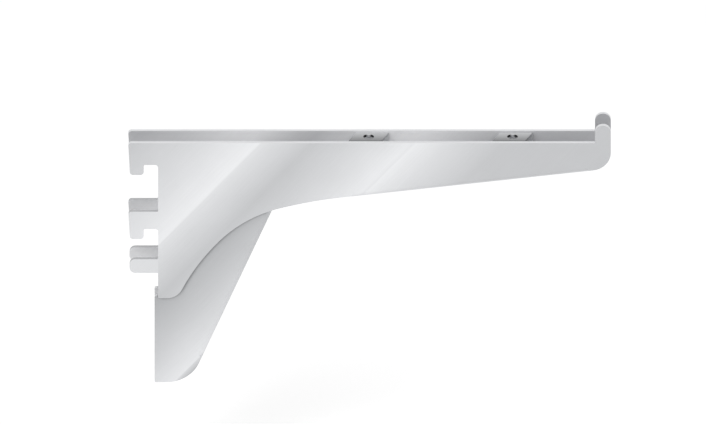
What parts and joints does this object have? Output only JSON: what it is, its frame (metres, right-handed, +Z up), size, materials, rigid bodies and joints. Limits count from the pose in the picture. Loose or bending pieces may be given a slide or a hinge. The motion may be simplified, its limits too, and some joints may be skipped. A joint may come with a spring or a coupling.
{
  "type": "slotted shelf bracket",
  "caption": "Folded steel bracket whose paired hooks hang in a double-slotted wall rail and carry a shelf on its open channel arm, with a stop lip at the front.",
  "frame": {"origin": "front face of the wall rail, midway between the side walls, level with the edges that the shelf lies on", "axes": "+X away from the wall along the arm, +Y across the bracket, +Z up"},
  "size_m": [0.2193, 0.0152, 0.1291],
  "materials": {
    "channel_steel": "bright plated sheet steel",
    "gusset_steel": "bright plated sheet steel, slightly darker",
    "bridge_steel": "bright plated sheet steel"
  },
  "bodies": {
    "root": {"bracket_channel": "channel_steel", "gusset_channel": "gusset_steel", "rear_screw_bridge": "bridge_steel", "front_screw_bridge": "bridge_steel"}
  },
  "joints": []
}
